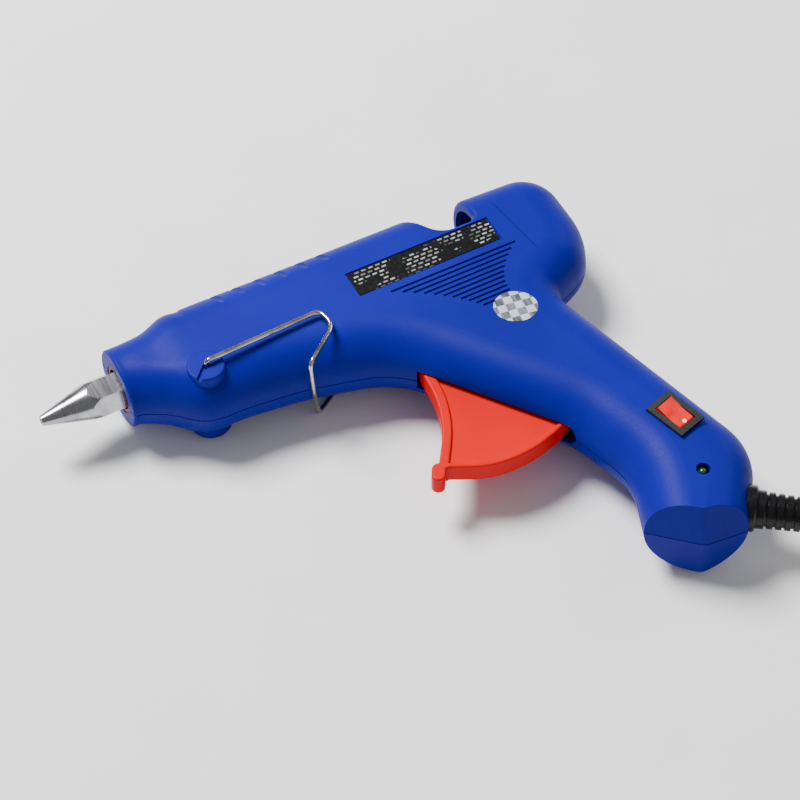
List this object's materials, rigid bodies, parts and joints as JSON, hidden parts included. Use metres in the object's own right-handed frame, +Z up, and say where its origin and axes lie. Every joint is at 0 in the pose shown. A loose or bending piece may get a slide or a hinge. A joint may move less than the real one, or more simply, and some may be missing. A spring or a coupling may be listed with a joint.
{
  "type": "glue gun",
  "caption": "Corded hot-melt glue gun with a pistol grip, trigger feed, wire prop, rocker switch and an open trough for the stick.",
  "frame": {"origin": "centre of the gun's bounding box in plan, on the surface that it lies on", "axes": "+X along the barrel away from the nozzle, +Y to the top of the gun as held, +Z up out of its left side as it lies on its right side"},
  "size_m": [0.3368, 0.2152, 0.036],
  "materials": {
    "blue_housing": "fine moulded texture, satin",
    "red_trigger": "moulded, semi-gloss",
    "red_rocker": "translucent, gloss",
    "black_plastic": "satin",
    "black_jacket": "soft PVC",
    "black_tie": "soft strap",
    "bare_aluminium": "machined",
    "plated_wire": "bright nickel plate",
    "steel": "plated",
    "red_silicone": "silicone",
    "white_silicone": "silicone",
    "ceramic": "ceramic heater in its insulating wrap",
    "nylon": "natural nylon",
    "brass": "stamped",
    "plated_pins": "nickel plated brass",
    "green_board": "laminate",
    "green_lens": "tinted epoxy, unlit",
    "brown_lead": "insulation",
    "blue_lead": "insulation",
    "label_black": "printed film",
    "sticker_silver": "metallised film"
  },
  "bodies": {
    "housing": {"left_shell": "blue_housing", "right_shell": "blue_housing", "switch_housing": "black_plastic", "cord_clamp": "black_plastic", "plug_body": "black_plastic", "strain_relief": "black_jacket", "power_cord": "black_jacket", "cord_coil": "black_jacket", "cord_core": "black_jacket", "coil_tie": "black_tie", "nozzle": "bare_aluminium", "melt_chamber": "bare_aluminium", "trigger_pin": "steel", "return_spring": "steel", "heater_clip": "steel", "sleeve_clamp": "steel", "shell_screws": "steel", "clamp_screws": "steel", "nozzle_seal": "red_silicone", "inlet_sleeve": "white_silicone", "heater_plate": "ceramic", "switch_terminals": "brass", "plug_pins": "plated_pins", "led_board": "green_board", "led_lamp": "green_lens", "live_lead": "brown_lead", "supply_lead": "brown_lead", "neutral_lead": "blue_lead", "rating_label": "label_black", "inspection_sticker": "sticker_silver"},
    "trigger": {"trigger": "red_trigger"},
    "carriage": {"feed_carriage": "nylon", "jaw_pin": "steel"},
    "jaw": {"grip_jaw": "nylon"},
    "rocker": {"switch_rocker": "red_rocker"},
    "stand": {"wire_stand": "plated_wire"}
  },
  "joints": [
    {"name": "trigger_hinge", "type": "hinge", "parent": "housing", "child": "trigger", "pos_m": [0.02361, 0.03571, 0.018], "axis": [0, 0, 1], "range_deg": [0, 18], "stiffness_Nm_per_rad": 0.5, "springref_deg": -17.19},
    {"name": "carriage_slide", "type": "slide", "parent": "housing", "child": "carriage", "axis": [-1, 0, 0], "range_m": [0, 0.0089]},
    {"name": "jaw_tilt", "type": "hinge", "parent": "carriage", "child": "jaw", "pos_m": [0.03365, 0.05371, 0.018], "axis": [0, 0, 1], "range_deg": [-6.2, 0]},
    {"name": "rocker_hinge", "type": "hinge", "parent": "housing", "child": "rocker", "pos_m": [0.07831, -0.04039, 0.0327], "axis": [-0.9588, -0.284, 0], "range_deg": [0, 16]},
    {"name": "stand_hinge", "type": "hinge", "parent": "housing", "child": "stand", "pos_m": [-0.04439, 0.04811, 0.018], "axis": [0, 0, 1], "range_deg": [-150, 0]}
  ],
  "couplings": [
    {"joint": "carriage_slide", "follows": "trigger_hinge", "m_per_rad": 0.028233},
    {"joint": "jaw_tilt", "follows": "trigger_hinge", "ratio": -0.33333}
  ]
}
